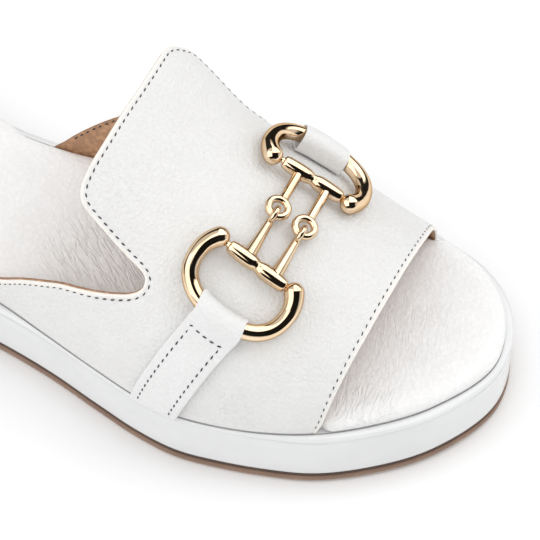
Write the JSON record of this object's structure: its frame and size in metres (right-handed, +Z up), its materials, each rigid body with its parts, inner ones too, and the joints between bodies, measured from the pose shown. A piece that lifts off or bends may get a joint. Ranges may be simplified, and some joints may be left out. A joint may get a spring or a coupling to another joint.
{
  "type": "slipper",
  "caption": "Right open-toe leather slide on a low platform, with a tongued vamp and a metal snaffle-bit ornament held in leather keepers.",
  "frame": {"origin": "centre of the bounding box's base, on the floor under the sole", "axes": "+X towards the toe, +Y towards the big-toe (inner) side, +Z up"},
  "size_m": [0.2506, 0.0891, 0.0747],
  "materials": {
    "outsole": "matte brown",
    "rand": "smooth glossy white wrap",
    "footbed_leather": "soft fine-grained white",
    "upper_leather": "fine-grained white with dark stitching",
    "pale_gold": "polished pale gold plating"
  },
  "bodies": {
    "root": {"outsole": "outsole", "midsole": "rand", "footbed": "footbed_leather", "upper": "upper_leather", "outer_strap": "upper_leather", "inner_strap": "upper_leather", "outer_bit": "pale_gold", "inner_bit": "pale_gold"}
  },
  "joints": []
}
